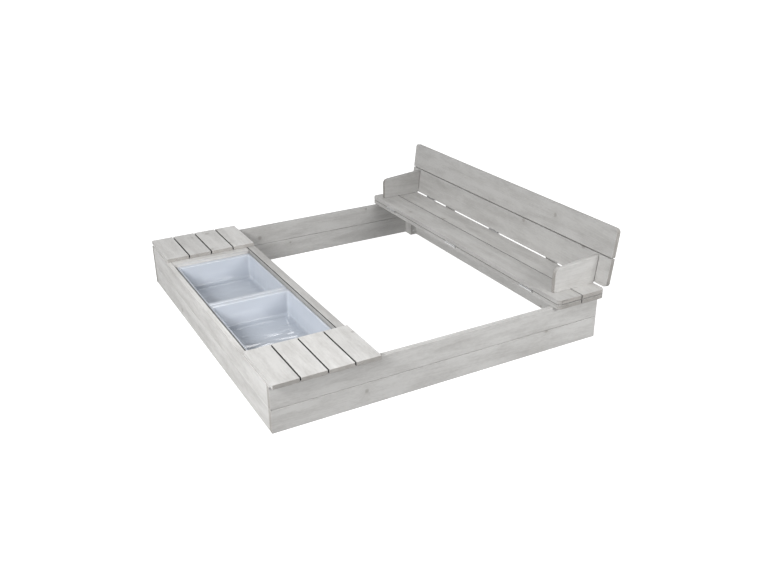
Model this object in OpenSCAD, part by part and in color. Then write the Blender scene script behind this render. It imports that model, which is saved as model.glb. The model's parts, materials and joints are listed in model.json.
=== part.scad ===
// Wooden sandbox with a fold-out bench cover, two corner covers and two lift-out tubs.
// Millimetres, +Z up. The origin is on the ground under the middle of the whole object.

/* [Frame] */
// Outer width of the wall frame, along X
frame_w = 1240; // [1180:1:1340]
// Outer depth of the wall frame, along Y
frame_d = 1288; // [1240:1:1400]
// Height of one wall board; a wall is two boards high
wall_board_h = 80; // [76:1:95]
// Thickness of the wall boards
wall_t = 18; // [16:1:22]
// Open joint between the two boards of a wall
wall_seam = 1; // [0.5:0.5:2]
// Corner post size along X
post_x = 30; // [24:1:40]
// Corner post size along Y
post_y = 50; // [40:1:60]

/* [Corner covers] */
// Width of one cover slat
slat_w = 86; // [80:1:88]
// Thickness of the cover slats
slat_t = 15; // [12:1:18]
// Length of the cover slats, along Y
slat_l = 236; // [200:1:260]
// Open joint between two slats
slat_gap = 4.3; // [3:0.1:5]
// Distance from the left face of the frame to the first slat
slat_inset = 4.5; // [2:0.5:8]
// Overhang of the slats past the near and far walls
slat_overhang = 20; // [14:1:24]
// Cross batten under the inner ends of the slats, along Y
cover_batten_w = 60; // [50:1:70]
// Strip of that batten left showing beyond the slats
batten_show = 26; // [20:1:30]

/* [Divider and tubs] */
// Clear width between the left wall and the divider cap
bay_w = 312; // [300:1:320]
// Width of the cap rail on the divider
cap_w = 35; // [30:1:40]
// Thickness of the cap rail and of the cover battens
cap_t = 18; // [16:1:20]
// Section of the ledge that carries the tub rims
ledge_h = 20; // [16:1:24]
// Outer length of one tub over its rim, along Y
tub_l = 400; // [380:1:400]
// Outer width of one tub over its rim, along X
tub_w = 299; // [290:1:309]
// Height of one tub
tub_h = 90; // [70:1:110]
// Width of the rim at the near and far ends of a tub
rim_end_w = 20; // [18:0.5:21]
// Width of the rim along the sides of a tub
rim_side_w = 7.5; // [6:0.5:12]
// Thickness of the plastic
tub_wall = 2.5; // [2:0.5:3]
// Thickness of the rim
rim_t = 3; // [2:0.5:4]
// Inner corner radius of a tub
tub_r = 12; // [8:1:30]

/* [Bench] */
// Overhang of the bench past the near and far walls
end_overhang = 24; // [18:1:28]
// Overhang of the bench past the right wall
bench_overhang = 7; // [4:1:10]
// Thickness of the bench boards
bench_t = 16; // [14:1:18]
// Width of one base or seat board
seat_board_w = 100; // [95:1:104]
// Width of one backrest board
back_board_w = 105; // [100:1:110]
// Open joint between two boards of a panel
board_gap = 4; // [3:0.5:6]
// Corner radius of the panels
corner_r = 16; // [8:1:24]
// Lean of the backrest from upright, in degrees
lean = 7.5; // [5:0.5:12]
// Armrest height at its front
arm_front_h = 86; // [75:1:95]
// Armrest height at the backrest
arm_rear_h = 103; // [92:1:112]
// Distance from the seat's front edge to the armrest
arm_setback = 27; // [20:1:35]
// Radius of the armrest's upper front corner
arm_r = 20; // [12:1:28]
// Distance from the near end of the seat to the near armrest
arm_near_inset = 60; // [52:1:66]
// Distance from the far end of the seat to the far armrest
arm_far_inset = 47; // [46:1:64]
// Width of the battens on the back of the backrest
back_batten_w = 56; // [50:1:70]
// Y of the near and the far backrest batten, from the outer face of the near wall
back_batten_y = [296, 1004];

/* [Hinges] */
// Length of one hinge
hinge_l = 70; // [60:1:80]
// Spacing of the three hinges of a row
hinge_pitch = 492; // [450:1:510]
// Outer diameter of the knuckles
knuckle_d = 8; // [7:0.5:8]
// Diameter of the hinge pin
pin_d = 4; // [3:0.5:5]
// Thickness of a hinge leaf
leaf_t = 1.1; // [0.9:0.1:1.1]
// Width of the leaves between base and seat
front_leaf_w = 28; // [22:1:34]
// Width of the leaves on the board edges
rear_leaf_w = 10; // [9:1:10]

/* [Hidden] */

$fn = 48;
wood_light = [0.86, 0.85, 0.83];
wood_wall = [0.78, 0.77, 0.75];
wood_bench = [0.72, 0.72, 0.71];
wood_inner = [0.68, 0.67, 0.65];
tub_blue = [0.76, 0.80, 0.86];
zinc = [0.72, 0.74, 0.76];

// Heights
frame_h = 2 * wall_board_h + wall_seam;
ledge_top = frame_h - cap_t;
rim_lift = 0.3;
tub_bottom = ledge_top + rim_lift + rim_t - tub_h;
hinge_space = 2.6;
base_top = frame_h + bench_t;
seat_bottom = base_top + hinge_space;
seat_top = seat_bottom + bench_t;
fold_clearance = 0.4;

// Bench panels, along X and Y
panel_w = 2 * seat_board_w + board_gap;
bench_rear = frame_w + bench_overhang;
bench_front = bench_rear - panel_w;
panel_y = -end_overhang;
panel_l = frame_d + 2 * end_overhang;
back_w = 2 * back_board_w + board_gap;

// Front hinge axis: the seat swings over it and lands just above the walls
front_pin_gap = 4.5;
front_pin_x = bench_front - front_pin_gap;
front_pin_z = (frame_h + fold_clearance + seat_top) / 2;

// Rear hinge axis: it lies a little below the seat's upper face
rear_pin_gap = 5;
rear_pin_drop = 3;
rear_pin_x = bench_rear + rear_pin_gap;
rear_pin_z = seat_top - rear_pin_drop;
raise = 90 - lean;
back_batten_t = 16;
back_under = rear_pin_drop - bench_t;
back_batten_tail = 75;
back_batten_end = back_w - 14;
batten_relief = 0.5;

// Bay of the two tubs
divider_t = wall_t;
bay_left = wall_t;
bay_right = bay_left + bay_w;
divider_x = bay_right + (cap_w - divider_t) / 2;
near_slat_y = -slat_overhang;
far_slat_y = frame_d + slat_overhang - slat_l;
near_batten_y = near_slat_y + slat_l + batten_show - cover_batten_w;
far_batten_y = far_slat_y - batten_show;
bay_mid_y = frame_d / 2;
tub_gap = 2;
tub_side_gap = 1.5;
tub_x = bay_right - tub_side_gap - tub_w;
ledge_clear = 0.7;
ledge_end_gap = 1;
ledge_y = wall_t + post_y + ledge_end_gap;
ledge_l = frame_d - 2 * ledge_y;

// Base cleats and stop blocks
cleat_w = 45;
cleat_setback = 32;
cleat_y = [frame_d / 3, frame_d * 2 / 3];
stop_top = frame_h - 1;
stop_bottom = 100;
stop_clear = 0.4;
stop_face_x = rear_pin_x - back_batten_tail * cos(raise)
    + (batten_relief - back_under) * sin(raise) - stop_clear;

// Screws
screw_d = 4;
screw_head_d = 8;
screw_head_h = 2.4;
head_proud = 0.3;
hinge_screw_d = 3;
hinge_screw_head_d = 5.6;

// Where the middle of the whole object lies: its right side is the top of the rear battens
reach_x = rear_pin_x + (rear_pin_gap + back_batten_end) * cos(raise)
    + (back_batten_t - back_under) * sin(raise);
middle = [reach_x / 2, frame_d / 2, 0];

arm_x = bench_front + arm_setback;
arm_t = 16;
arm_steps = 10;
arm_face_gap = 1.5;
arm_y = [panel_y + arm_near_inset, panel_y + panel_l - arm_far_inset - arm_t];
hinge_y = [for (i = [-1:1]) frame_d / 2 + i * hinge_pitch];

// ---- shared shapes ----

module at_middle() {
    translate(-middle) children();
}

// A board lying flat, with both corners of its low-X edge rounded
module flat_board(w, l, t, r) {
    linear_extrude(t) {
        translate([r, 0]) square([w - r, l]);
        translate([0, r]) square([w, l - 2 * r]);
        translate([r, r]) circle(r);
        translate([r, l - r]) circle(r);
    }
}

module wall_board(size, level) {
    translate([0, 0, level * (wall_board_h + wall_seam)]) cube(size);
}

// Places the backrest, drawn flat behind the seat, at its lean
module upright() {
    translate([rear_pin_x, 0, rear_pin_z]) rotate([0, -raise, 0]) children();
}

// X of the backrest's front face at a height
function front_face_x(z) =
    let (foot_x = rear_pin_gap * cos(raise) - rear_pin_drop * sin(raise),
         foot_z = rear_pin_gap * sin(raise) + rear_pin_drop * cos(raise))
    rear_pin_x + foot_x + (z - rear_pin_z - foot_z) * tan(lean);

// A countersunk screw that points down from the origin
module screw(length, d = screw_d, head_d = screw_head_d) {
    translate([0, 0, head_proud - screw_head_h]) cylinder(h = screw_head_h, d1 = d, d2 = head_d);
    translate([0, 0, -length]) cylinder(h = length + head_proud - screw_head_h, d = d);
}

// ---- frame ----

module near_wall(level) {
    color(wood_wall) at_middle() wall_board([frame_w, wall_t, wall_board_h], level);
}

module far_wall(level) {
    color(wood_wall) at_middle() translate([0, frame_d - wall_t, 0])
        wall_board([frame_w, wall_t, wall_board_h], level);
}

module side_wall(x, level) {
    color(wood_wall) at_middle() translate([x, wall_t, 0])
        wall_board([wall_t, frame_d - 2 * wall_t, wall_board_h], level);
}

module post(x, y) {
    color(wood_inner) at_middle() translate([x, y, 0]) cube([post_x, post_y, frame_h]);
}

module divider_lower() {
    color(wood_inner) at_middle() translate([divider_x, wall_t, 0])
        cube([divider_t, frame_d - 2 * wall_t, wall_board_h]);
}

module divider_upper() {
    low = wall_board_h + wall_seam;
    color(wood_inner) at_middle() translate([divider_x, wall_t, low])
        cube([divider_t, frame_d - 2 * wall_t, ledge_top - low]);
}

module divider_cap() {
    color(wood_light) at_middle() translate([bay_right, wall_t, ledge_top])
        cube([cap_w, frame_d - 2 * wall_t, cap_t]);
}

// ---- tub bay ----

module tub_ledge_left() {
    high = tub_x + rim_side_w - tub_wall - ledge_clear;
    color(wood_inner) at_middle() translate([bay_left, ledge_y, ledge_top - ledge_h])
        cube([high - bay_left, ledge_l, ledge_h]);
}

module tub_ledge_right() {
    low = tub_x + tub_w - rim_side_w + tub_wall + ledge_clear;
    color(wood_inner) at_middle() translate([low, ledge_y, ledge_top - ledge_h])
        cube([divider_x - low, ledge_l, ledge_h]);
}

module cover_batten(y) {
    end_gap = 1;
    color(wood_light) at_middle() translate([bay_left + end_gap, y, ledge_top])
        cube([bay_w - 2 * end_gap, cover_batten_w, cap_t]);
}

module cover_slat(i, y) {
    x = slat_inset + i * (slat_w + slat_gap);
    color(wood_light) at_middle() translate([x, y, frame_h]) cube([slat_w, slat_l, slat_t]);
}

// Rounded rectangle inside the tub's outline, inset by x at its sides and by y at its ends
module tub_outline(x, y, r) {
    w = tub_w - 2 * x;
    l = tub_l - 2 * y;
    translate([x, y]) {
        translate([r, 0]) square([w - 2 * r, l]);
        translate([0, r]) square([w, l - 2 * r]);
        for (cx = [r, w - r], cy = [r, l - r]) translate([cx, cy]) circle(r);
    }
}

module tub(y) {
    color(tub_blue) at_middle() translate([tub_x, y, tub_bottom]) difference() {
        union() {
            linear_extrude(tub_h)
                tub_outline(rim_side_w - tub_wall, rim_end_w - tub_wall, tub_r + tub_wall);
            translate([0, 0, tub_h - rim_t]) linear_extrude(rim_t) tub_outline(0, 0, tub_r / 2);
        }
        translate([0, 0, tub_wall]) linear_extrude(tub_h)
            tub_outline(rim_side_w, rim_end_w, tub_r);
    }
}

// ---- bench ----

module panel_board_front(z) {
    color(wood_bench) at_middle() translate([bench_front, panel_y, z])
        flat_board(seat_board_w, panel_l, bench_t, corner_r);
}

module panel_board_rear(z) {
    color(wood_bench) at_middle() translate([bench_rear, panel_y, z]) mirror([1, 0, 0])
        flat_board(seat_board_w, panel_l, bench_t, corner_r);
}

module base_cleat(y) {
    x = bench_front + cleat_setback;
    color(wood_inner) at_middle() translate([x, y - cleat_w / 2, frame_h - cap_t])
        cube([frame_w - wall_t - x, cleat_w, cap_t]);
}

// Its upright outer face meets the lower inner edge of a batten's tail
module stop_block(y) {
    color(wood_inner) at_middle() translate([frame_w, y - back_batten_w / 2, stop_bottom])
        cube([stop_face_x - frame_w, back_batten_w, stop_top - stop_bottom]);
}

// The armrest's side: upright front, rounded upper corner, rising top and a rear
// edge that runs along the backrest
module arm_side() {
    rise = atan((arm_rear_h - arm_front_h) / (bench_rear - arm_x));
    centre = [arm_r, arm_front_h + arm_r * tan(rise) - arm_r / cos(rise)];
    rear_low = front_face_x(seat_top) - arm_face_gap - arm_x;
    rear_high = front_face_x(seat_top + arm_rear_h) - arm_face_gap - arm_x;
    corner = [for (i = [0:arm_steps])
        let (a = 90 + rise + i / arm_steps * (90 - rise)) centre + arm_r * [cos(a), sin(a)]];
    polygon(concat([[0, 0], [rear_low, 0], [rear_high, arm_rear_h]], corner));
}

module armrest(y) {
    color(wood_bench) at_middle() translate([arm_x, y + arm_t, seat_top]) rotate([90, 0, 0])
        linear_extrude(arm_t) arm_side();
}

module back_board_lower() {
    color(wood_bench) at_middle() upright() translate([rear_pin_gap, panel_y, back_under])
        flat_board(back_board_w, panel_l, bench_t, corner_r);
}

module back_board_upper() {
    color(wood_bench) at_middle() upright()
        translate([rear_pin_gap + back_w, panel_y, back_under]) mirror([1, 0, 0])
        flat_board(back_board_w, panel_l, bench_t, corner_r);
}

// Joins the two backrest boards; its tail reaches down to a stop block
module back_batten(y) {
    top = rear_pin_gap + back_batten_end;
    outer = back_under - back_batten_t;
    color(wood_inner) at_middle() upright() translate([0, y + back_batten_w / 2, 0])
        rotate([90, 0, 0]) linear_extrude(back_batten_w) polygon([
            [-back_batten_tail, outer], [top, outer], [top, back_under],
            [rear_pin_gap, back_under], [rear_pin_gap, back_under - batten_relief],
            [-back_batten_tail, back_under - batten_relief]
        ]);
}

// ---- hinges ----

knuckles = 5;
knuckle_l = hinge_l / knuckles;
knuckle_play = 0.4;
pin_clear = 0.05;
tab_h = 2;

// Knuckles first, first + 2, ... along Y, bored for the pin
module barrels(first) {
    for (i = [first:2:knuckles - 1])
        translate([0, i * knuckle_l + knuckle_play / 2, 0]) rotate([-90, 0, 0])
            difference() {
                cylinder(h = knuckle_l - knuckle_play, d = knuckle_d);
                translate([0, 0, -1]) cylinder(h = knuckle_l + 1, d = pin_d + 2 * pin_clear);
            }
}

// Flat tabs that join the leaf to its own knuckles; they stop short of the pin
module tabs(first, size) {
    for (i = [first:2:knuckles - 1])
        translate([0, i * knuckle_l + knuckle_play / 2, 0])
            cube([size[0], knuckle_l - knuckle_play, size[1]]);
}

// A leaf that lies between base and seat, its knuckles at the origin
module front_leaf(first, low) {
    tab_start = pin_d / 2 + 0.5;
    edge = front_pin_gap + 0.2;
    barrels(first);
    translate([edge, 0, low]) cube([front_leaf_w, hinge_l, leaf_t]);
    translate([tab_start, 0, low]) tabs(first, [edge + 1 - tab_start, leaf_t]);
}

// A leaf on a board's edge, which is at low X, hanging below the knuckles
module rear_leaf(first) {
    barrels(first);
    translate([-rear_pin_gap, 0, -tab_h - rear_leaf_w]) cube([leaf_t, hinge_l, rear_leaf_w]);
    translate([-rear_pin_gap, 0, -tab_h - 1])
        tabs(first, [leaf_t, tab_h + 2]);
    translate([-rear_pin_gap, 0, -0.5]) tabs(first, [rear_pin_gap - pin_d / 2 - 0.5, 1.5]);
}

module hinge_row(x, z) {
    for (y = hinge_y) translate([x, y - hinge_l / 2, z]) children();
}

module front_hinge_base_leaves() {
    color(zinc) at_middle() hinge_row(front_pin_x, front_pin_z)
        front_leaf(0, base_top - front_pin_z);
}

module front_hinge_seat_leaves() {
    color(zinc) at_middle() hinge_row(front_pin_x, front_pin_z)
        front_leaf(1, seat_bottom - leaf_t - front_pin_z);
}

module front_hinge_pins() {
    color(zinc) at_middle() hinge_row(front_pin_x, front_pin_z)
        rotate([-90, 0, 0]) cylinder(h = hinge_l, d = pin_d);
}

module rear_hinge_seat_leaves() {
    color(zinc) at_middle() hinge_row(rear_pin_x, rear_pin_z) rear_leaf(0);
}

module rear_hinge_back_leaves() {
    color(zinc) at_middle() hinge_row(rear_pin_x, rear_pin_z) rotate([0, -raise, 0])
        mirror([1, 0, 0]) rear_leaf(1);
}

module rear_hinge_pins() {
    color(zinc) at_middle() hinge_row(rear_pin_x, rear_pin_z)
        rotate([-90, 0, 0]) cylinder(h = hinge_l, d = pin_d);
}

// ---- screws ----

// From each post into the near or far wall, two per wall board
module post_screws() {
    length = post_y + wall_t * 2 / 3;
    color(zinc) at_middle()
        for (x = [wall_t, frame_w - wall_t - post_x], level = [0, 1], up = [0.25, 0.75]) {
            z = level * (wall_board_h + wall_seam) + up * wall_board_h;
            translate([x + post_x / 2, wall_t + post_y, z]) rotate([-90, 0, 0]) screw(length);
            translate([x + post_x / 2, frame_d - wall_t - post_y, z]) rotate([90, 0, 0])
                screw(length);
        }
}

// From under each cover batten up into the slats
module cover_screws() {
    length = cap_t + slat_t * 2 / 3;
    color(zinc) at_middle()
        for (i = [0:2], y = [near_batten_y, far_batten_y])
            translate([slat_inset + slat_w / 2 + i * (slat_w + slat_gap),
                       y + cover_batten_w / 2, ledge_top])
                rotate([180, 0, 0]) screw(length);
}

// From under each base cleat up into the base boards
module base_screws() {
    length = cap_t + bench_t * 2 / 3;
    color(zinc) at_middle()
        for (x = [bench_front + 0.5 * seat_board_w, bench_front + 0.8 * seat_board_w,
                  bench_rear - 0.8 * seat_board_w, bench_rear - 0.5 * seat_board_w], y = cleat_y)
            translate([x, y, frame_h - cap_t]) rotate([180, 0, 0]) screw(length);
}

// Through each stop block into the right wall
module stop_screws() {
    z = (stop_bottom + stop_top) / 2;
    sunk = 0.8;
    color(zinc) at_middle() for (y = back_batten_y, side = [-1, 1])
        translate([stop_face_x - sunk, y + side * back_batten_w / 4, z])
            rotate([0, 90, 0]) screw(24);
}

// From under the seat up into the armrests
module arm_screws() {
    length = bench_t + 30;
    color(zinc) at_middle() for (x = [0.3, 0.8], y = arm_y)
        translate([arm_x + x * (bench_rear - arm_x), y + arm_t / 2, seat_bottom + head_proud])
            rotate([180, 0, 0]) screw(length);
}

// Through the leaves that lie on the base
module base_hinge_screws() {
    color(zinc) at_middle() for (y = hinge_y, side = [-1, 0, 1])
        translate([bench_front + front_leaf_w / 2 + 4, y + side * hinge_l / 3,
                   base_top + leaf_t - head_proud])
            screw(12, hinge_screw_d, hinge_screw_head_d);
}

// Through the leaves under the seat and on its rear edge
module seat_hinge_screws() {
    color(zinc) at_middle() for (y = hinge_y, side = [-1, 0, 1]) {
        translate([bench_front + front_leaf_w / 2 - 4, y + side * hinge_l / 3,
                   seat_bottom - leaf_t + head_proud])
            rotate([180, 0, 0]) screw(12, hinge_screw_d, hinge_screw_head_d);
        translate([bench_rear + leaf_t - head_proud, y + side * hinge_l / 3,
                   rear_pin_z - tab_h - rear_leaf_w / 2])
            rotate([0, 90, 0]) screw(16, hinge_screw_d, hinge_screw_head_d);
    }
}

// Through each batten into both backrest boards, and through the rear leaves
module back_batten_screws() {
    length = back_batten_t + bench_t * 2 / 3;
    upper_start = back_board_w + board_gap;
    spans = [[0, back_board_w], [upper_start, back_batten_end - upper_start]];
    color(zinc) at_middle() upright() {
        for (y = back_batten_y, side = [-1, 1], span = spans, part = [0.25, 0.75])
            translate([rear_pin_gap + span[0] + part * span[1],
                       y + side * back_batten_w / 4, back_under - back_batten_t])
                rotate([180, 0, 0]) screw(length);
        for (y = hinge_y, side = [-1, 0, 1])
            translate([rear_pin_gap - leaf_t + head_proud, y + side * hinge_l / 3,
                       -tab_h - rear_leaf_w / 2])
                rotate([0, -90, 0]) screw(16, hinge_screw_d, hinge_screw_head_d);
    }
}

near_y = wall_t;
far_post_y = frame_d - wall_t - post_y;
right_post_x = frame_w - wall_t - post_x;

near_wall(0);  // near_wall_lower
near_wall(1);  // near_wall_upper
far_wall(0);  // far_wall_lower
far_wall(1);  // far_wall_upper
side_wall(0, 0);  // left_wall_lower
side_wall(0, 1);  // left_wall_upper
side_wall(frame_w - wall_t, 0);  // right_wall_lower
side_wall(frame_w - wall_t, 1);  // right_wall_upper
post(wall_t, near_y);  // post_near_left
post(right_post_x, near_y);  // post_near_right
post(wall_t, far_post_y);  // post_far_left
post(right_post_x, far_post_y);  // post_far_right
divider_lower();
divider_upper();
divider_cap();
tub_ledge_left();
tub_ledge_right();
cover_batten(near_batten_y);  // near_cover_batten
cover_batten(far_batten_y);  // far_cover_batten
cover_slat(0, near_slat_y);  // near_cover_slat_1
cover_slat(1, near_slat_y);  // near_cover_slat_2
cover_slat(2, near_slat_y);  // near_cover_slat_3
cover_slat(3, near_slat_y);  // near_cover_slat_4
cover_slat(0, far_slat_y);  // far_cover_slat_1
cover_slat(1, far_slat_y);  // far_cover_slat_2
cover_slat(2, far_slat_y);  // far_cover_slat_3
cover_slat(3, far_slat_y);  // far_cover_slat_4
panel_board_front(frame_h);  // base_board_front
panel_board_rear(frame_h);  // base_board_rear
base_cleat(cleat_y[0]);  // base_cleat_near
base_cleat(cleat_y[1]);  // base_cleat_far
stop_block(back_batten_y[0]);  // stop_block_near
stop_block(back_batten_y[1]);  // stop_block_far
tub(bay_mid_y - tub_gap / 2 - tub_l);  // near_tub
tub(bay_mid_y + tub_gap / 2);  // far_tub
panel_board_front(seat_bottom);  // seat_board_front
panel_board_rear(seat_bottom);  // seat_board_rear
armrest(arm_y[0]);  // armrest_near
armrest(arm_y[1]);  // armrest_far
back_board_lower();
back_board_upper();
back_batten(back_batten_y[0]);  // back_batten_near
back_batten(back_batten_y[1]);  // back_batten_far
front_hinge_base_leaves();
front_hinge_seat_leaves();
front_hinge_pins();
rear_hinge_seat_leaves();
rear_hinge_back_leaves();
rear_hinge_pins();
post_screws();
cover_screws();
base_screws();
stop_screws();
arm_screws();
seat_hinge_screws();
base_hinge_screws();
back_batten_screws();
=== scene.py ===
"""Looks for a grey-washed wooden sandbox: boards, tubs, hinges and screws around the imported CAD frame."""
import json
import math
import random

import bpy
import bmesh
from mathutils import Matrix, Vector, noise


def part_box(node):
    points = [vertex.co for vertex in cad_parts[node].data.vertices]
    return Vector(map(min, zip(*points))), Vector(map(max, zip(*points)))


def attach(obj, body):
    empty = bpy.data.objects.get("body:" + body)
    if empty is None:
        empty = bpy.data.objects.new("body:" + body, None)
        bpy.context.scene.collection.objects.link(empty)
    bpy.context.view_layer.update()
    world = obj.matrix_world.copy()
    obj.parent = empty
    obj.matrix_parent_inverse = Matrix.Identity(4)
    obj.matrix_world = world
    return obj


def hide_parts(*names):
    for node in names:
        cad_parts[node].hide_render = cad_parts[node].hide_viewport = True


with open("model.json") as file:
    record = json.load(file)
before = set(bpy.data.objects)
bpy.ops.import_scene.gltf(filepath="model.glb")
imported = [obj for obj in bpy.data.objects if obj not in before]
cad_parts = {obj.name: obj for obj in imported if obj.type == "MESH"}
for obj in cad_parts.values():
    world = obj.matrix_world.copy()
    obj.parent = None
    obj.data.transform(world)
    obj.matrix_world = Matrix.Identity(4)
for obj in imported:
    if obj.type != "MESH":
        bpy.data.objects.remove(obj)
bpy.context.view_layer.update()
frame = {"nodes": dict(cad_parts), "record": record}
MM = 0.001

NODE_BODY = {node: body for body, nodes in frame["record"]["behaviour"]["bodies"].items() for node in nodes}
JOINTS = {joint["name"]: joint for joint in frame["record"]["behaviour"]["joints"]}
SLOTS = {part["node"]: part["material_slot"] for part in frame["record"]["subparts"]}


# ---------------------------------------------------------------- camera, light and floor

CAM_PLACE = Vector((-1.3451, -2.6245, 1.4101))
CAM_AZIMUTH = math.radians(28.62)
CAM_DOWN = math.radians(24.52)
CAM_ROLL = math.radians(-0.72)
CAM_LENS = 38.91
SENSOR_WIDTH = 36.0
SKY_ABOVE, SKY_BELOW = 0.43, 0.14        # world strength overhead and underfoot
SKY_TURN = (-0.25, 0.35)                 # heights of the view direction between which it changes
KEY_POWER, FILL_POWER, STRIP_POWER, GLINT_POWER = 66.0, 49.0, 12.0, 0.22       # watts


def make_camera():
    """The photograph's viewing angle: azimuth turned from +Y towards +X, tilted down, with a slight roll."""
    forward = Vector((math.sin(CAM_AZIMUTH) * math.cos(CAM_DOWN),
                      math.cos(CAM_AZIMUTH) * math.cos(CAM_DOWN), -math.sin(CAM_DOWN)))
    level = Vector((math.cos(CAM_AZIMUTH), -math.sin(CAM_AZIMUTH), 0))
    up = level.cross(forward)
    right = math.cos(CAM_ROLL) * level + math.sin(CAM_ROLL) * up
    up = right.cross(forward)
    data = bpy.data.cameras.new("camera")
    data.lens = CAM_LENS
    data.sensor_fit = "HORIZONTAL"
    data.sensor_width = SENSOR_WIDTH
    camera = bpy.data.objects.new("camera", data)
    turn = Matrix((right, up, -forward)).transposed()
    camera.matrix_world = Matrix.Translation(CAM_PLACE) @ turn.to_4x4()
    bpy.context.scene.collection.objects.link(camera)
    bpy.context.scene.camera = camera


def area_light(name, place, target, size, power):
    data = bpy.data.lights.new(name, "AREA")
    data.shape = "RECTANGLE"
    data.size, data.size_y = size
    data.energy = power
    lamp = bpy.data.objects.new(name, data)
    aim = Vector(target) - Vector(place)
    lamp.matrix_world = Matrix.Translation(place) @ aim.to_track_quat("-Z", "Y").to_matrix().to_4x4()
    lamp.visible_camera = False
    bpy.context.scene.collection.objects.link(lamp)


def make_light():
    """A white studio: bright above and dimmer below, a key light from the left, a low fill from the near
    side, a strip behind the far right that shows in glossy edges, and two thin glints for the tubs."""
    world = bpy.data.worlds.new("studio")
    bpy.context.scene.world = world
    world.use_nodes = True
    nodes, links = world.node_tree.nodes, world.node_tree.links
    direction = nodes.new("ShaderNodeTexCoord")
    split = nodes.new("ShaderNodeSeparateXYZ")
    height = nodes.new("ShaderNodeMapRange")
    height.inputs["From Min"].default_value = SKY_TURN[0]
    height.inputs["From Max"].default_value = SKY_TURN[1]
    height.inputs["To Min"].default_value = SKY_BELOW
    height.inputs["To Max"].default_value = SKY_ABOVE
    links.new(direction.outputs["Generated"], split.inputs["Vector"])
    links.new(split.outputs["Z"], height.inputs["Value"])
    links.new(height.outputs["Result"], nodes["Background"].inputs["Strength"])
    nodes["Background"].inputs["Color"].default_value = (1.0, 1.0, 1.0, 1.0)
    area_light("key", (-2.4, -1.0, 1.7), (-0.3, -0.1, 0.1), (0.9, 0.9), KEY_POWER)
    area_light("fill", (1.0, -3.0, 1.25), (0.1, 0.0, 0.1), (1.6, 1.0), FILL_POWER)
    area_light("strip", (1.2, 2.6, 2.3), (-0.4, 0.0, 0.1), (2.4, 0.35), STRIP_POWER)
    for side, y in (("near", -0.15), ("far", 0.24)):
        area_light("glint_" + side, (0.51, y + 1.85, 1.6), (-0.5, y, 0.07), (0.45, 0.03), GLINT_POWER)
    bpy.context.scene.view_settings.view_transform = "Standard"
    bpy.context.scene.view_settings.look = "None"


def make_floor():
    half = 40.0
    mesh = bpy.data.meshes.new("floor")
    corners = [(-half, -half, 0), (half, -half, 0), (half, half, 0), (-half, half, 0)]
    mesh.from_pydata(corners, [], [(0, 1, 2, 3)])
    floor = bpy.data.objects.new("floor", mesh)
    bpy.context.scene.collection.objects.link(floor)
    material = bpy.data.materials.new("floor_white")
    material.use_nodes = True
    shader = material.node_tree.nodes["Principled BSDF"]
    shader.inputs["Base Color"].default_value = (0.4, 0.4, 0.4, 1)
    shader.inputs["Roughness"].default_value = 0.9
    shader.inputs["Specular IOR Level"].default_value = 0.1
    shader.inputs["Emission Color"].default_value = (1, 1, 1, 1)
    shader.inputs["Emission Strength"].default_value = 0.95
    mesh.materials.append(material)
    floor.visible_diffuse = False        # the world alone sets how much light comes from below


# ---------------------------------------------------------------- node graphs for materials

class Graph:
    """Short calls that add shader nodes and link them."""

    def __init__(self, name):
        self.material = bpy.data.materials.new(name)
        self.material.use_nodes = True
        self.tree = self.material.node_tree
        self.shader = self.tree.nodes["Principled BSDF"]

    def put(self, socket, value):
        if hasattr(value, "is_linked"):
            self.tree.links.new(value, socket)
        else:
            socket.default_value = value

    def node(self, kind, inputs=(), **settings):
        made = self.tree.nodes.new(kind)
        for key, value in settings.items():
            setattr(made, key, value)
        for key, value in dict(inputs).items():
            self.put(made.inputs[key], value)
        return made

    def attribute(self, name):
        return self.node("ShaderNodeAttribute", attribute_name=name)

    def math(self, operation, a, b=0.0, c=0.0, clamp=False):
        made = self.node("ShaderNodeMath", operation=operation, use_clamp=clamp)
        for socket, value in zip(made.inputs, (a, b, c)):
            self.put(socket, value)
        return made.outputs[0]

    def vector(self, operation, a, b=(0, 0, 0)):
        made = self.node("ShaderNodeVectorMath", operation=operation)
        self.put(made.inputs[0], a)
        self.put(made.inputs[1], b)
        return made.outputs[0]

    def split(self, vector):
        return self.node("ShaderNodeSeparateXYZ", {"Vector": vector}).outputs

    def join(self, x, y, z):
        return self.node("ShaderNodeCombineXYZ", {"X": x, "Y": y, "Z": z}).outputs[0]

    def stretch(self, parts, factors):
        """A vector of three numbers, each multiplied by its factor."""
        return self.join(*(self.math("MULTIPLY", part, factor) for part, factor in zip(parts, factors)))

    def length(self, a, b):
        return self.math("SQRT", self.math("ADD", self.math("MULTIPLY", a, a), self.math("MULTIPLY", b, b)))

    def noise(self, vector, scale=1.0, detail=2.0, roughness=0.5, output="Fac"):
        made = self.node("ShaderNodeTexNoise", {"Vector": vector, "Scale": scale, "Detail": detail,
                                                "Roughness": roughness})
        return made.outputs[output]

    def ramp(self, value, stops):
        made = self.node("ShaderNodeValToRGB", {"Fac": value})
        elements = made.color_ramp.elements
        while len(elements) < len(stops):
            elements.new(0.5)
        for element, (position, level) in zip(elements, stops):
            element.position = position
            element.color = (level, level, level, 1)
        return made.outputs["Color"]

    def mix(self, factor, a, b, blend="MIX"):
        made = self.node("ShaderNodeMix", data_type="RGBA", blend_type=blend)
        self.put(made.inputs[0], factor)
        self.put(made.inputs[6], a)
        self.put(made.inputs[7], b)
        return made.outputs[2]

    def bump(self, height, distance, strength=1.0):
        return self.node("ShaderNodeBump", {"Height": height, "Distance": distance,
                                            "Strength": strength}).outputs[0]


def tone(red, green, blue):
    """An sRGB colour given from 0 to 255, as linear."""
    def linear(level):
        level /= 255
        return level / 12.92 if level <= 0.04045 else ((level + 0.055) / 1.055) ** 2.4
    return (linear(red), linear(green), linear(blue), 1)


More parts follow.
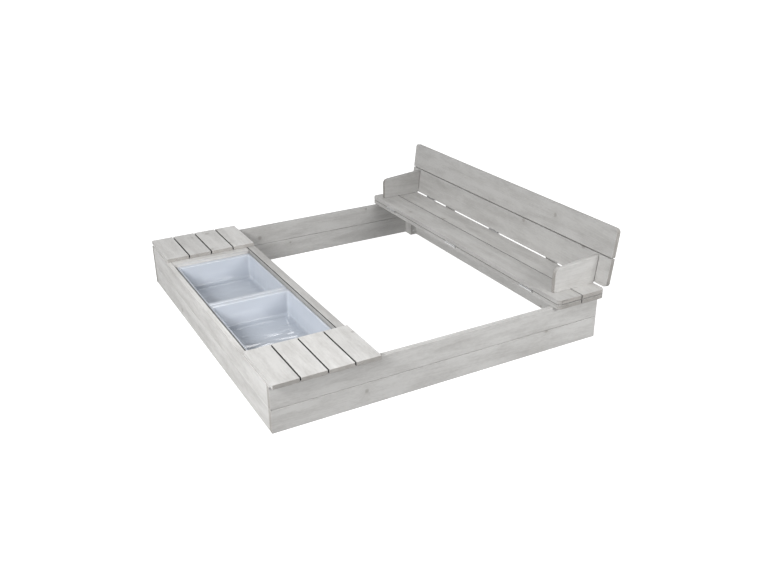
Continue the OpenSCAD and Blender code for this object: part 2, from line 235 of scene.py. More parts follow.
KNOT_CELLS = (5.5, 9.0, 1.2)             # cells per metre along, across and through; each may hold a knot
KNOT_LIMIT = 0.80                        # a cell's random number above which it holds a knot
KNOT_R, KNOT_R_SPREAD = 0.005, 0.006     # metres
SWIRL_R, SWIRL_PUSH = 0.024, 0.016       # how far a knot bends the rings, and by how much, in metres
PITH_DRIFT = (0.030, 0.018)              # metres across and through
RINGS, RING_JITTER = 230.0, 3.0          # growth rings per metre, and their unevenness in rings
KNOT_RINGS = 5200.0                      # radians per metre
EULER = 2.718
# colour of the painted shade in narrow gaps, in the cap's groove and on its lip
PAINTED_GAP_SHADOW = (0.02, 0.02, 0.02, 1)


def wood_material(name, wash, raw, knot, contrast):
    """Grey-washed softwood. Attribute "grain" holds metres along, across and through the board, with a
    random offset for each board; "board" holds that board's own random numbers and "shade" its tone,
    which is partly painted light and shade.
    "edge" is 1 on its long edges, "sawn" on its sawn ends, and "crevice" holds painted shade:
    how far a narrow gap darkens it."""
    g = Graph(name)
    grain = g.attribute("grain").outputs["Vector"]
    own = g.split(g.attribute("board").outputs["Vector"])
    along, across, through = lengths = g.split(grain)

    # knots: few, round on the face, and running through the board's thickness
    cells = g.stretch(lengths, KNOT_CELLS)
    knots = g.node("ShaderNodeTexVoronoi", {"Vector": cells, "Scale": 1.0, "Randomness": 1.0})
    lottery = g.split(knots.outputs["Color"])
    off_centre = g.split(g.vector("SUBTRACT", cells, knots.outputs["Position"]))
    knot_x = g.math("DIVIDE", off_centre[0], KNOT_CELLS[0])
    knot_y = g.math("DIVIDE", off_centre[1], KNOT_CELLS[1])
    from_knot = g.length(knot_x, knot_y)
    has_knot = g.math("GREATER_THAN", lottery[0], KNOT_LIMIT)
    knot_size = g.math("MULTIPLY_ADD", lottery[1], KNOT_R_SPREAD, KNOT_R)
    swirl = g.math("MULTIPLY", has_knot, g.math("POWER", EULER, g.math(
        "MULTIPLY", -1.0, g.math("POWER", g.math("DIVIDE", from_knot, SWIRL_R), 2.0))))
    in_knot = g.math("MULTIPLY", has_knot, g.math("SUBTRACT", 1.0, g.math(
        "DIVIDE", from_knot, knot_size), clamp=True))

    # growth rings round a pith that lies below the board and drifts slowly along it
    wander = g.noise(g.stretch(lengths, (1.6, 7.0, 7.0)), 1.0, 2.0, 0.45, "Color")
    drift = g.split(g.vector("SUBTRACT", wander, (0.5, 0.5, 0.5)))
    ring_y = g.math("ADD", g.math("SUBTRACT", own[0], across), g.math("MULTIPLY", drift[0], PITH_DRIFT[0]))
    ring_z = g.math("ADD", g.math("ADD", through, own[1]), g.math("MULTIPLY", drift[1], PITH_DRIFT[1]))
    radius = g.length(ring_y, ring_z)
    radius = g.math("ADD", radius, g.math("MULTIPLY", along, own[2]))
    radius = g.math("ADD", radius, g.math("MULTIPLY", swirl, SWIRL_PUSH))
    uneven = g.noise(g.join(g.math("MULTIPLY", radius, 60.0), 0.0, 0.0), 1.0, 1.0, 0.5)
    phase = g.math("ADD", g.math("MULTIPLY", radius, RINGS), g.math("MULTIPLY", uneven, RING_JITTER))
    ring = g.math("FRACT", phase)
    late = g.ramp(ring, [(0.0, 0.55), (0.10, 0.05), (0.45, 0.12), (0.80, 0.85), (0.96, 1.0), (1.0, 0.55)])

    # from fibres to broad streaks, all long along the grain
    fibre = g.noise(g.stretch(lengths, (22.0, 900.0, 900.0)), 1.0, 3.0, 0.6)
    streak = g.noise(g.stretch(lengths, (1.3, 34.0, 34.0)), 1.0, 3.0, 0.55)
    cloud = g.noise(g.vector("MULTIPLY", grain, (5.0, 9.0, 9.0)), 1.0, 3.0, 0.5)
    blotch = g.noise(g.stretch(lengths, (6.5, 30.0, 30.0)), 1.0, 2.0, 0.55)
    mottle = g.noise(g.stretch(lengths, (60.0, 150.0, 150.0)), 1.0, 3.0, 0.6)

    # the wash lies unevenly: "bare" is how much of the raw wood shows through it
    worn = g.attribute("edge").outputs["Fac"]
    sawn = g.attribute("sawn").outputs["Fac"]
    bare = g.math("MULTIPLY", late, 0.17)
    for source, middle, weight in ((streak, 0.42, 0.9), (fibre, 0.5, 0.5), (cloud, 0.5, 0.5),
                                   (blotch, 0.42, 1.6), (mottle, 0.5, 0.9)):
        bare = g.math("ADD", bare, g.math("MULTIPLY", g.math("SUBTRACT", source, middle), weight))
    bare = g.math("MULTIPLY", bare, contrast, clamp=True)
    colour = g.mix(bare, wash, raw)
    colour = g.mix(g.math("MULTIPLY", worn, 0.25), colour, raw)
    colour = g.mix(g.math("MULTIPLY", sawn, g.math("MULTIPLY_ADD", late, 0.25, 0.38)), colour, knot)
    painted_gap_shade = g.attribute("painted_gap_shade").outputs["Fac"]
    # painted shade: near black mixed in beside narrow gaps, in the cap's groove and on its lip
    colour = g.mix(g.math("MULTIPLY", painted_gap_shade, 0.92), colour, PAINTED_GAP_SHADOW)
    knot_ring = g.math("MULTIPLY_ADD", g.math("SINE", g.math("MULTIPLY", from_knot, KNOT_RINGS)), 0.18, 0.72)
    colour = g.mix(g.math("MULTIPLY", g.math("MULTIPLY", g.math("POWER", in_knot, 0.5), knot_ring),
                          0.6), colour, knot)
    colour = g.mix(g.math("MULTIPLY", swirl, 0.10), colour, knot)
    # multiplies by each board's tone, which is partly painted light and shade
    colour = g.mix(1.0, colour, g.attribute("shade").outputs["Color"], "MULTIPLY")

    g.put(g.shader.inputs["Base Color"], colour)
    g.put(g.shader.inputs["Roughness"], g.math("MULTIPLY_ADD", bare, 0.14, 0.56))
    g.shader.inputs["Specular IOR Level"].default_value = 0.35
    height = g.math("ADD", g.math("MULTIPLY", late, 0.55), g.math("MULTIPLY", fibre, 0.6))
    height = g.math("ADD", height, g.math("MULTIPLY", in_knot, 0.8))
    g.put(g.shader.inputs["Normal"], g.bump(height, 0.00035, 0.8))
    return g.material


def plastic_material():
    """Glossy moulded plastic with fine specks in its gloss. Attribute "floor" is 1 on the tub's floor, which
    is wavier and painted darker, as shade."""
    g = Graph("tub_plastic")
    place = g.node("ShaderNodeTexCoord").outputs["Object"]
    flow = g.noise(g.vector("MULTIPLY", place, (3.0, 5.0, 9.0)), 1.0, 3.0, 0.5)
    wave = g.noise(g.vector("MULTIPLY", place, (9.0, 30.0, 13.0)), 1.0, 1.0, 0.4)
    fine = g.noise(place, 420.0, 2.0, 0.6)
    floor = g.attribute("floor").outputs["Fac"]
    colour = g.mix(flow, tone(189, 195, 204), tone(199, 204, 212))
    # painted shade: the floor is made darker than the walls, which face the lamps more
    colour = g.mix(g.math("MULTIPLY", floor, 0.75), colour, tone(168, 174, 183))
    g.put(g.shader.inputs["Base Color"], colour)
    rough = g.math("ADD", g.math("MULTIPLY", flow, 0.05), g.math("MULTIPLY", fine, 0.04))
    g.put(g.shader.inputs["Roughness"], g.math("ADD", rough, 0.05))
    g.shader.inputs["IOR"].default_value = 1.52
    g.shader.inputs["Coat Weight"].default_value = 0.3
    g.shader.inputs["Coat Roughness"].default_value = 0.05
    wave = g.math("MULTIPLY", wave, g.math("MULTIPLY_ADD", floor, 0.8, 0.2))
    height = g.math("ADD", wave, g.math("MULTIPLY", fine, 0.01))
    g.put(g.shader.inputs["Normal"], g.bump(height, 0.004, 0.8))
    return g.material


def zinc_material():
    """Bright zinc plate: mottled crystals, brushed lines and a duller tone in places."""
    g = Graph("zinc")
    place = g.node("ShaderNodeTexCoord").outputs["Object"]
    spangle = g.node("ShaderNodeTexVoronoi", {"Vector": place, "Scale": 260.0})
    cell = g.split(spangle.outputs["Color"])[0]
    brushed = g.noise(g.vector("MULTIPLY", place, (60.0, 60.0, 2200.0)), 1.0, 2.0, 0.5)
    dull = g.noise(place, 45.0, 3.0, 0.6)
    colour = g.mix(cell, tone(208, 209, 211), tone(232, 232, 233))
    colour = g.mix(g.ramp(dull, [(0.45, 0.0), (0.75, 0.5)]), colour, tone(184, 184, 183))
    g.put(g.shader.inputs["Base Color"], colour)
    g.shader.inputs["Metallic"].default_value = 1.0
    rough = g.math("MULTIPLY_ADD", dull, 0.22, 0.2)
    g.put(g.shader.inputs["Roughness"], g.math("MULTIPLY_ADD", cell, 0.08, rough))
    g.put(g.shader.inputs["Normal"], g.bump(brushed, 0.0001, 0.5))
    return g.material


def make_materials():
    knot = tone(112, 104, 95)
    return {
        "cover_wood": wood_material("cover_wood", tone(209, 208, 206), tone(174, 172, 169), knot, 0.8),
        "wall_wood": wood_material("wall_wood", tone(206, 205, 203), tone(170, 168, 165), knot, 0.8),
        "bench_wood": wood_material("bench_wood", tone(196, 195, 193), tone(161, 159, 156), knot, 0.8),
        "inner_wood": wood_material("inner_wood", tone(196, 195, 193), tone(160, 158, 155), knot, 0.9),
        "tub_plastic": plastic_material(),
        "zinc": zinc_material(),
    }


# ---------------------------------------------------------------- meshes

EDGE_R = 1.3 * MM        # rounding of a planed board's edges
WAVE = 0.35 * MM         # most that a board's faces sink below their nominal plane
EDGE_GUARD = 0.6 * MM    # distance of a board's support loops from its rounded edges
GUARD = 3.2 * MM         # distance of support points from the corners of a sawn outline
STATION = 22 * MM        # spacing of the sections along a board
FACE_STEPS = 9           # quads across a board's face
ON_EDGE = EDGE_R * 0.3   # how close to a face's edge a point counts as on it
ARC_NEAR, ARC_FAR = 0.134, 0.5           # how far a quarter round has drawn in at 30 and 60 degrees, in radii
RIM_INSET = 1.6          # inset of a sawn outline's innermost ring, in rim radii
CAP_LIP, CAP_GROOVE, CAP_DEEP = 2.0 * MM, 2.8 * MM, 9 * MM       # groove along the divider's cap
# painted light and shade in these tones: the far wall and far armrest darker, the left wall and near armrest
# lighter
BOARD_TONE_AND_PAINTED_LIGHT = {               # tone of single boards, where it isn't 1, partly painted light and shade
    "left_wall_upper": 1.05, "left_wall_lower": 1.06, "near_cover_slat_1": 0.93, "near_cover_slat_3": 1.08,
    "far_cover_slat_1": 0.97, "far_cover_slat_2": 0.93, "far_cover_slat_4": 1.05, "far_wall_upper": 0.84,
    "far_wall_lower": 0.84, "divider_cap": 0.83, "armrest_near": 1.07, "armrest_far": 0.84,
    "seat_board_front": 1.01, "seat_board_rear": 1.10, "back_board_lower": 0.96, "back_board_upper": 0.98,
}


def stations(length, big_radius):
    """Distances along a board for its sections: close together where its ends are rounded."""
    reach = max(big_radius, EDGE_R)
    ends = {0.0, EDGE_R * 1.4}
    ends |= {EDGE_R * (1 - math.cos(math.radians(a))) for a in (30, 60, 90)}
    if big_radius > EDGE_R:
        ends |= {big_radius * (1 - math.cos(math.radians(a))) for a in range(12, 91, 6)}
    ends = sorted(ends)
    steps = max(2, round((length - 2 * reach) / STATION))
    middle = [reach + (length - 2 * reach) * i / steps for i in range(1, steps)]
    return ends + middle + [length - s for s in reversed(ends)]


def inset(distance, radius):
    """How far a rounded corner of that radius has drawn in, at a distance from the end."""
    if distance >= radius:
        return 0.0
    return radius - math.sqrt(max(radius * radius - (radius - distance) ** 2, 0.0))


def section(y0, y1, z0, z1, radius):
    """Points of one rounded rectangular section, anticlockwise, with support loops beside each corner."""
    radius = max(radius, 0.02 * MM)
    points = []

    def side(start, end, steps):
        run = (end - start).length
        keep = min(EDGE_GUARD, run / 4) / run if run > 0 else 0
        cuts = [0, keep] + [keep + (1 - 2 * keep) * i / steps for i in range(1, steps)] + [1 - keep]
        for cut in cuts:
            points.append(start.lerp(end, cut))

    def arc(centre, first):
        for angle in (30, 60):
            a = math.radians(first + angle)
            points.append(centre + radius * Vector((math.cos(a), math.sin(a))))

    corners = [Vector((y1 - radius, z0 + radius)), Vector((y1 - radius, z1 - radius)),
               Vector((y0 + radius, z1 - radius)), Vector((y0 + radius, z0 + radius))]
    outward = [Vector((0, -radius)), Vector((radius, 0)), Vector((0, radius)), Vector((-radius, 0))]
    for k, steps in enumerate((FACE_STEPS, 2, FACE_STEPS, 2)):
        end = corners[k] + outward[k]
        side(corners[k - 1] + outward[k], end, steps)
        points.append(end)
        arc(corners[k], 90 * k - 90)
    return points


def skin(bm, rings):
    """Joins each ring of vertices to the next with quads."""
    for a, b in zip(rings, rings[1:]):
        for i in range(len(a)):
            j = (i + 1) % len(a)
            bm.faces.new((a[i], a[j], b[j], b[i]))


def close_smooth(bm, first, last):
    """Closes a skin's two open ends, turns its faces outwards and shades them smooth."""
    bm.faces.new(first)
    bm.faces.new(last)
    bmesh.ops.recalc_face_normals(bm, faces=bm.faces)
    for face in bm.faces:
        face.smooth = True
    bm.verts.index_update()


def new_object(name, bm, materials):
    mesh = bpy.data.meshes.new(name)
    bm.to_mesh(mesh)
    bm.free()
    for material in materials:
        mesh.materials.append(material)
    made = bpy.data.objects.new(name, mesh)
    bpy.context.scene.collection.objects.link(made)
    return made


def gap_sides(node):
    """Whether a board's low and high long flanks face a narrow gap to the next board."""
    if "_slat_" in node:
        return node[-1] in "234", node[-1] in "123"
    if node.startswith(("seat_board", "base_board")):
        return node.endswith("rear"), node.endswith("front")
    return False, False


def painted_gap_shade_at(node, point, size):
    """Painted shade: how dark a narrow gap, the cap's groove or the cap's shaded lip makes the wood at a
    point of the board, from 0 to 1.
    """
    along, across, _ = point
    on_flank = min(across, size[1] - across) < ON_EDGE
    if on_flank and EDGE_R < along < size[0] - EDGE_R and gap_sides(node)[across > size[1] / 2]:
        return 1.0 if "_slat_" in node else 0.45
    # painted shade in the cap's groove, and a little on its lip, which lies in shade beside the tub
    if node == "divider_cap" and across < CAP_LIP * 1.1 + CAP_GROOVE:
        if across > CAP_LIP * 0.9 and size[2] - point[2] > 0.5 * MM:
            return 1.0
        if across < CAP_LIP * 0.9:
            return 0.22
    return 0.0


def set_grain(piece, node, local, size, seed, sawn):
    """Stores the attributes that the wood material reads, from each vertex's place in the board. sawn tells
    how far each vertex faces along the grain, from 0 to 1."""
    rng = random.Random(seed)
    offset = Vector((rng.uniform(0, 40), rng.uniform(0, 40), rng.uniform(0, 40)))
    pith = (offset.y + size[1] * rng.uniform(0.1, 0.9), rng.uniform(0.012, 0.05) - offset.z,
            rng.uniform(0.012, 0.035) * rng.choice((-1, 1)))
    grain, board, edge, painted_gap_shade = [], [], [], []
    for point in local:
        grain += list(Vector(point) + offset)
        board += list(pith)
        near = sorted(min(point[k], size[k] - point[k]) for k in range(3))
        edge.append(max(0.0, 1.0 - (near[0] + near[1]) / (EDGE_R * 0.9)))
        painted_gap_shade.append(painted_gap_shade_at(node, point, size))
    shade = [BOARD_TONE_AND_PAINTED_LIGHT.get(node, 1.0)] * (3 * len(local))
    for name, values in (("grain", grain), ("board", board), ("shade", shade)):
        piece.data.attributes.new(name, "FLOAT_VECTOR", "POINT").data.foreach_set("vector", values)
    for name, values in (("edge", edge), ("sawn", sawn), ("painted_gap_shade", painted_gap_shade)):
        piece.data.attributes.new(name, "FLOAT", "POINT").data.foreach_set("value", values)


def loft_board(node, size, radii, material, seed):
    """A planed board of size (length, width, thickness) with rounded edges and slightly uneven faces, in its
    own coordinates. radii are the corner radii at (start low, start high, end low, end high)."""
    length, width, thick = size
    rows = []
    for s in stations(length, max(radii)):
        near_end = s < length / 2
        distance = s if near_end else length - s
        low, high = radii[:2] if near_end else radii[2:]
        sink = inset(distance, EDGE_R)
        y0 = max(inset(distance, low), sink)
        y1 = width - max(inset(distance, high), sink)
        turn = [max(0.0, 1.0 - distance / max(radius, EDGE_R)) for radius in (low, high)]
        rows.append((s, section(y0, y1, sink, thick - sink, EDGE_R - sink), turn))
    cap = EDGE_R + EDGE_GUARD
    start, end = ((s, section(max(low, cap), width - max(high, cap), cap, thick - cap, 0), [1.0, 1.0])
                  for s, (low, high) in ((0.0, radii[:2]), (length, radii[2:])))
    rows = [start] + rows + [end]
    bm = bmesh.new()
    rings, local, sawn = [], [], []
    for s, points, turn in rows:
        ring = []
        y0, y1 = min(p.x for p in points), max(p.x for p in points)
        for y, z in points:
            spot = Vector((s * 3.0, y * 9.0, z * 9.0)) + Vector((seed * 7.31, seed * 3.17, 0))
            sink = WAVE * (0.5 + 0.5 * noise.noise(spot))
            toward = Vector((0, width / 2 - y, thick / 2 - z))
            flat = abs(toward.z) > thick / 2 - EDGE_R
            move = Vector((0, 0, math.copysign(sink, toward.z))) if flat else Vector(
                (0, math.copysign(sink, toward.y), 0))
            ring.append(bm.verts.new(Vector((s, y, z)) + move))
            local.append((s, y, z))
            if min(s, length - s) < ON_EDGE:
                sawn.append(1.0)
            elif y - y0 < ON_EDGE:
                sawn.append(turn[0])
            else:
                sawn.append(turn[1] if y1 - y < ON_EDGE else 0.0)
        rings.append(ring)
    skin(bm, rings)
    close_smooth(bm, list(reversed(rings[0])), rings[-1])
    piece = new_object(node + "_board", bm, [material])
    set_grain(piece, node, local, size, seed, sawn)
    return piece


def board_frame(low, high):
    """(matrix, size) that lay a board's own length, width and thickness along a box's longest, middle and
    shortest sides."""
    spans = high - low
    order = sorted(range(3), key=lambda k: -spans[k])
    axes = [Vector([1.0 if k == axis else 0.0 for k in range(3)]) for axis in order]
    if axes[0].cross(axes[1]).dot(axes[2]) < 0:
        axes[2] = -axes[2]
    start = Vector(low)
    if axes[2][order[2]] < 0:
        start[order[2]] = high[order[2]]
    matrix = Matrix.Translation(start) @ Matrix(axes).transposed().to_4x4()
    return matrix, tuple(spans[axis] for axis in order)


def backrest_frame():
    """The matrix that raises the backrest from lying flat behind the seat to its lean."""
    joint = JOINTS["backrest_fold"]
    pivot = Vector(joint["pos_m"])
    turn = Matrix.Rotation(-math.radians(joint["range_deg"][1]), 4, "Y")
    return Matrix.Translation(pivot) @ turn


def local_box(node, matrix):
    """A CAD node's box in the coordinates of that matrix."""
    inverse = matrix.inverted()
    points = [inverse @ v.co for v in frame["nodes"][node].data.vertices]
    low = Vector([min(p[k] for p in points) for k in range(3)])
    high = Vector([max(p[k] for p in points) for k in range(3)])
    return low, high


def stand_for(piece, node):
    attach(piece, NODE_BODY[node])
    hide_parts(node)


def make_board(node, materials, seed, radii=(0, 0, 0, 0), tilt=None):
    """A detailed board in place of a box-shaped CAD node."""
    place = tilt or Matrix.Identity(4)
    matrix, size = board_frame(*local_box(node, place))
    piece = loft_board(node, size, radii, materials[SLOTS[node]], seed)
    piece.data.transform(place @ matrix)
    stand_for(piece, node)


def offset_outline(outline, distance):
    """The outline, given anticlockwise, moved inwards."""
    moved = []
    for i, point in enumerate(outline):
        before, after = outline[i - 1], outline[(i + 1) % len(outline)]
        a = (point - before).normalized()
        b = (after - point).normalized()
        normal_a, normal_b = Vector((-a.y, a.x)), Vector((-b.y, b.x))
        middle = (normal_a + normal_b).normalized()
        moved.append(point + middle * distance / max(middle.dot(normal_a), 0.3))
    return moved


def guarded(outline):
    """The outline with extra points close to the ends of its long edges, so that shading turns only there."""
    points = []
    for i, start in enumerate(outline):
        end = outline[(i + 1) % len(outline)]
        run = (end - start).length
        points.append(start)
        if run > 12 * MM:
            points += [start.lerp(end, GUARD / run), start.lerp(end, 1 - GUARD / run)]
    return points


def facing(outline, along):
    """How far the edges at each point of the outline face along an axis, from 0 to 1."""
    shares = []
    for i in range(len(outline)):
        tangent = (outline[(i + 1) % len(outline)] - outline[i - 1]).normalized()
        shares.append(abs(tangent[1 - along]) if along < 2 else 0.0)
    return shares


def prism(node, outline, thick, material, seed, along=0, rim=EDGE_R):
    """A board sawn to an outline, with rims rounded to radius rim. The grain follows axis along: 0 or 1 in
    the outline's plane, 2 through it."""
    under = [(rim * RIM_INSET, 0.0), (rim, 0.0), (rim * ARC_FAR, rim * ARC_NEAR),
             (rim * ARC_NEAR, rim * ARC_FAR), (0.0, rim)]
    levels = under + [(0.0, thick / 2)] + [(distance, thick - z) for distance, z in reversed(under)]
    outline = guarded(outline)
    shares = facing(outline, along)
    low = Vector((min(p.x for p in outline), min(p.y for p in outline), 0))
    high = Vector((max(p.x for p in outline), max(p.y for p in outline), thick))
    order = (along, (along + 1) % 3, (along + 2) % 3)
    size = tuple((high - low)[k] for k in order)
    bm = bmesh.new()
    rings, local, sawn = [], [], []
    for distance, z in levels:
        points = offset_outline(outline, distance)
        rings.append([bm.verts.new((p.x, p.y, z)) for p in points])
        local += [tuple(Vector((p.x, p.y, z))[k] - low[k] for k in order) for p in points]
        on_end = along == 2 and min(z, thick - z) < rim * 0.3
        sawn += [1.0] * len(points) if on_end else shares if distance < rim * 0.6 else [0.0] * len(points)
    skin(bm, rings)
    close_smooth(bm, list(reversed(rings[0])), rings[-1])
    piece = new_object(node + "_board", bm, [material])
    set_grain(piece, node, local, size, seed, sawn)
    return piece


# ---------------------------------------------------------------- wooden parts

PANEL_R = 16 * MM        # corner radius of the base, seat and back panels
PLAIN_BOARDS = ("near_wall", "far_wall", "left_wall", "right_wall", "post_near", "post_far", "divider_",
                "tub_ledge", "base_cleat")
PANEL_SEEDS = (60, 61, 62, 63, 70, 71)   # random seeds of the base, seat and back boards
BATTEN_SEED, ARMREST_SEED, STOP_SEED = 80, 90, 95


def outline_of(node, sideways):
    """A prism node's outline: its vertices in the X-Z plane at one end, anticlockwise. sideways picks Y."""
    points = {(round(v.co.x, 5), round(v.co.z, 5)) for v in frame["nodes"][node].data.vertices
              if abs(v.co.y - sideways) < 0.0005}
    middle = Vector((sum(p[0] for p in points), sum(p[1] for p in points))) / len(points)
    return [Vector(p) for p in sorted(points, key=lambda p: math.atan2(p[1] - middle.y, p[0] - middle.x))]


def cap_outline(node):
    """The divider cap's section: planed corners, and a narrow groove close to the edge beside the tubs."""
    low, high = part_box(node)
    plane = 1.0 * MM
    lip = low.x + CAP_LIP
    wall = lip + CAP_GROOVE
    bottom = high.z - CAP_DEEP
    return [Vector((x, z)) for x, z in (
        (low.x, low.z + plane), (low.x + plane, low.z), (high.x - plane, low.z), (high.x, low.z + plane),
        (high.x, high.z - plane), (high.x - plane * 0.3, high.z - plane * 0.3), (high.x - plane, high.z),
        (wall + plane * 0.4, high.z), (wall, high.z - plane * 0.4), (wall, high.z - plane * 0.7),
        (wall, bottom), (lip, bottom), (lip, high.z - plane * 1.2), (lip, high.z - plane),
        (low.x + plane * 0.6, high.z - plane * 0.6), (low.x, high.z - plane * 1.4))]


def make_upright_piece(node, materials, seed, along, outline=None, rim=EDGE_R):
    """A piece sawn to an outline in the X-Z plane: an armrest, a stop block or the divider's cap."""
    low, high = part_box(node)
    outline = outline or outline_of(node, low.y)
    piece = prism(node, outline, high.y - low.y, materials[SLOTS[node]], seed, along, rim)
    stand_up = Matrix(((1, 0, 0, 0), (0, 0, -1, high.y), (0, 1, 0, 0), (0, 0, 0, 1)))
    piece.data.transform(stand_up)
    stand_for(piece, node)


def make_wood(materials):
    tilt = backrest_frame()
    plain = [node for node in NODE_BODY if node.startswith(PLAIN_BOARDS) or "_cover_slat_" in node
             or node.endswith("cover_batten")]
    for seed, node in enumerate(sorted(plain), 1):
        if node == "divider_cap":
            make_upright_piece(node, materials, seed, 2, cap_outline(node), 0.25 * MM)
        else:
            make_board(node, materials, seed)
    # lengths run along +Y and widths along +X, so "low" is the corner towards the tubs
    for seed, (node, low, high, place) in zip(PANEL_SEEDS, (
            ("base_board_front", PANEL_R, 0, None), ("base_board_rear", 0, PANEL_R, None),
            ("seat_board_front", PANEL_R, 0, None), ("seat_board_rear", 0, PANEL_R, None),
            ("back_board_lower", PANEL_R, 0, tilt), ("back_board_upper", 0, PANEL_R, tilt))):
        make_board(node, materials, seed, (low, high, low, high), place)
    for seed, node in enumerate(("back_batten_near", "back_batten_far"), BATTEN_SEED):
        make_board(node, materials, seed, tilt=tilt)
    for seed, node in enumerate(("armrest_near", "armrest_far"), ARMREST_SEED):
        make_upright_piece(node, materials, seed, 0)
    for seed, node in enumerate(("stop_block_near", "stop_block_far"), STOP_SEED):
        make_upright_piece(node, materials, seed, 1)


# ---------------------------------------------------------------- tubs

TUB_WALL = 2.5 * MM
RIM_SIDE, RIM_END, RIM_T = 7.5 * MM, 20 * MM, 3 * MM
TUB_R = 12 * MM          # corner radius at the mouth
CORNER_STEPS, SIDE_STEPS = 10, 12        # quads round a corner and along a side
FLOOR_TOP, FLOOR_BLEND = 12 * MM, 8 * MM         # height up to which, and over which, the floor's painted shade and waves fade


def tub_ring(bm, low, high, share, extra, z):
    """One rounded rectangular ring of a tub. share runs from 0 at the rim's outer edge to 1 at the mouth, and
    extra is a further distance inwards."""
    x_in, y_in = RIM_SIDE * share + extra, RIM_END * share + extra
    x0, x1 = low.x + x_in, high.x - x_in
    y0, y1 = low.y + y_in, high.y - y_in
    radius = max(TUB_R * (0.5 + 0.5 * share) - extra, 0.6 * MM)
    points = []
    for cx, cy, first in ((x1 - radius, y0 + radius, -90), (x1 - radius, y1 - radius, 0),
                          (x0 + radius, y1 - radius, 90), (x0 + radius, y0 + radius, 180)):
        for i in range(CORNER_STEPS + 1):
            a = math.radians(first + 90 * i / CORNER_STEPS)
            points.append(Vector((cx + radius * math.cos(a), cy + radius * math.sin(a), z)))
    full = []
    per_corner = CORNER_STEPS + 1
    for i, point in enumerate(points):
        full.append(point)
        if i % per_corner == per_corner - 1:
            after = points[(i + 1) % len(points)]
            full += [point.lerp(after, k / SIDE_STEPS) for k in range(1, SIDE_STEPS)]
    return [bm.verts.new(p) for p in full]


def tub_profile(bottom, top):
    """(share, extra, height) of each ring, from under the foot, over the rim and down to the floor."""
    draft, bead, mouth, floor_r = 4 * MM, 1.3 * MM, 2.4 * MM, 7 * MM
    outer, floor = bottom + floor_r + TUB_WALL, bottom + TUB_WALL
    panel_in, panel_edge, panel_foot, raised = 40 * MM, 14 * MM, 11 * MM, 1.4 * MM      # raised floor panel

    def arc(share, extra, z, radius, first, last, steps):
        for i in range(steps + 1):
            a = math.radians(first + (last - first) * i / steps)
            yield share, extra + radius * math.cos(a), z + radius * math.sin(a)

    low_wall = draft - TUB_WALL
    big = floor_r + TUB_WALL
    rings = [(1, low_wall + big + panel_in, bottom + raised),
             (1, low_wall + big + panel_edge, bottom + raised), (1, low_wall + big + panel_foot, bottom)]
    rings += list(arc(1, low_wall + big, outer, big, 270, 180, 8))
    rings += [(1, draft * 0.5 - TUB_WALL, (bottom + top) / 2), (1, -TUB_WALL, top - RIM_T - 1.2 * MM),
              (1, -TUB_WALL - 0.8 * MM, top - RIM_T), (0, bead + 0.6 * MM, top - RIM_T)]
    rings += list(arc(0, bead, top - bead, bead, 230, 90, 6))
    rings += [(0.3, 0, top), (0.3, 0.6 * MM, top)]
    rings += list(arc(1, -mouth, top - mouth, mouth, 90, 0, 6))
    rings += [(1, 0.4 * MM, top - mouth - 6 * MM), (1, draft * 0.5, (bottom + top) / 2)]
    rings += list(arc(1, draft + floor_r, floor + floor_r, floor_r, 180, 270, 8))
    rings += [(1, draft + floor_r + panel_foot, floor), (1, draft + floor_r + panel_edge, floor + raised),
              (1, draft + floor_r + panel_in, floor + raised)]
    return rings


def make_tub(node, material):
    """A thin-walled moulded tub: rounded rim, drafted walls, a filleted floor and a shallow raised panel."""
    low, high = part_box(node)
    bm = bmesh.new()
    rings = [tub_ring(bm, low, high, *ring) for ring in tub_profile(low.z, high.z)]
    skin(bm, rings)
    close_smooth(bm, rings[0], rings[-1])
    floor_z = low.z + TUB_WALL
    # 1 on the floor: where the painted shade and the stronger waves go
    floor_shade_and_wave = [min(max((floor_z + FLOOR_TOP - vert.co.z) / FLOOR_BLEND, 0.0), 1.0) for vert in bm.verts]
    piece = new_object(node + "_shell", bm, [material])
    piece.data.attributes.new("floor", "FLOAT", "POINT").data.foreach_set("value", floor_shade_and_wave)
    stand_for(piece, node)


# ---------------------------------------------------------------- metal parts

def make_hinges(material):
    """The hinge nodes keep their CAD shape and sharp edges, in zinc plate with evened-out shading."""
    for node in NODE_BODY:
        if "_hinge_" in node and not node.endswith("screws"):
            cad = frame["nodes"][node]
            cad.data.materials.clear()
            cad.data.materials.append(material)
            cad.modifiers.new("even_shading", "WEIGHTED_NORMAL")


SAME_PLACE = 0.01 * MM
AT_END = 0.4 * MM        # how close to a screw's end a point counts as on it
SCREW_STEPS = 32


def islands(mesh, inverse):
    """Groups a mesh's points by solid, seen through a matrix. The mesh's vertices are split along sharp
    edges, so points in one place count as one."""
    places = [tuple(round(c / SAME_PLACE) for c in v.co) for v in mesh.vertices]
    parent = {place: place for place in places}

    def top_of(place):
        while parent[place] != place:
            parent[place] = parent[parent[place]]
            place = parent[place]
        return place

    for edge in mesh.edges:
        a, b = (top_of(places[i]) for i in edge.vertices)
        parent[a] = b
    groups = {}
    for place, v in zip(places, mesh.vertices):
        groups.setdefault(top_of(place), []).append(inverse @ v.co)
    return list(groups.values())


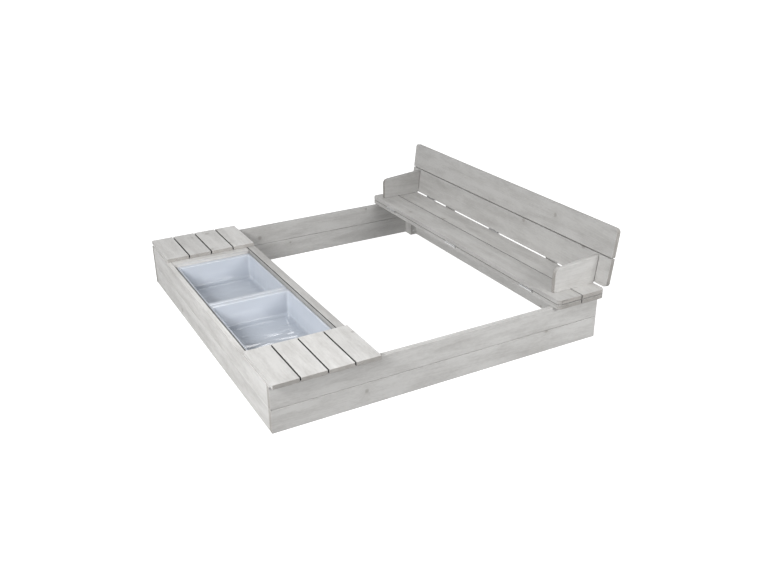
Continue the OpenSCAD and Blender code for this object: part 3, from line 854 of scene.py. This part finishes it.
def lay_screw(bm, points):
    """Adds one countersunk screw with a cross recess, where the CAD one lies along an axis."""
    low = Vector([min(p[k] for p in points) for k in range(3)])
    high = Vector([max(p[k] for p in points) for k in range(3)])
    middle, spans = (low + high) / 2, high - low
    axis = max(range(3), key=lambda k: spans[k])

    def widest(end):
        return max(((p - middle) - Vector([(p - middle)[k] if k == axis else 0 for k in range(3)])).length
                   for p in points if abs(p[axis] - end) < AT_END)

    top, tail = high[axis], low[axis]
    if widest(tail) > widest(top):
        top, tail = tail, top
    head_r, shaft_r = widest(top), widest(tail)
    head = middle.copy()
    head[axis] = top
    out = Vector([math.copysign(1.0, top - tail) if k == axis else 0.0 for k in range(3)])
    place = Matrix.Translation(head) @ out.to_track_quat("Z", "Y").to_matrix().to_4x4()
    length = abs(top - tail)

    def ring(radius, z):
        return [bm.verts.new(place @ Vector((radius * math.cos(a), radius * math.sin(a), z)))
                for a in (2 * math.pi * i / SCREW_STEPS for i in range(SCREW_STEPS))]

    def cross(reach, half, z):
        corners = [(reach, -half), (reach, half), (half, half), (half, reach), (-half, reach),
                   (-half, half), (-reach, half), (-reach, -half), (-half, -half), (-half, -reach),
                   (half, -reach), (half, -half)]
        return [bm.verts.new(place @ Vector((x, y, z))) for x, y in corners]

    cone = head_r - shaft_r
    rings = [ring(radius, z) for radius, z in (
        (head_r - 0.25 * MM, 0), (head_r - 0.06 * MM, -0.06 * MM), (head_r, -0.2 * MM),
        (shaft_r, -0.3 * MM - cone), (shaft_r, -length + 2 * MM), (0.3 * MM, -length))]
    skin(bm, rings)
    bm.faces.new(rings[-1])
    slot_top = cross(head_r * 0.56, head_r * 0.11, 0)
    slot_floor = cross(head_r * 0.34, head_r * 0.07, -head_r * 0.42)
    skin(bm, [slot_top, slot_floor])
    bm.faces.new(slot_floor)
    edges = [bm.edges.get((a[i], a[(i + 1) % len(a)])) for a in (rings[0], slot_top) for i in range(len(a))]
    bmesh.ops.triangle_fill(bm, use_beauty=True, edges=edges)


def make_screws(material):
    """Detailed screws in place of each node of CAD screws; those in the backrest lean with it."""
    for node in NODE_BODY:
        if node.endswith("screws"):
            leans = NODE_BODY[node] == NODE_BODY["back_board_lower"]
            place = backrest_frame() if leans else Matrix.Identity(4)
            bm = bmesh.new()
            for points in islands(frame["nodes"][node].data, place.inverted()):
                lay_screw(bm, points)
            bmesh.ops.recalc_face_normals(bm, faces=bm.faces)
            piece = new_object(node + "_detail", bm, [material])
            piece.data.transform(place)
            stand_for(piece, node)


make_camera()
make_light()
make_floor()
MATERIALS = make_materials()
make_wood(MATERIALS)
for tub_node in ("near_tub", "far_tub"):
    make_tub(tub_node, MATERIALS["tub_plastic"])
make_hinges(MATERIALS["zinc"])
make_screws(MATERIALS["zinc"])
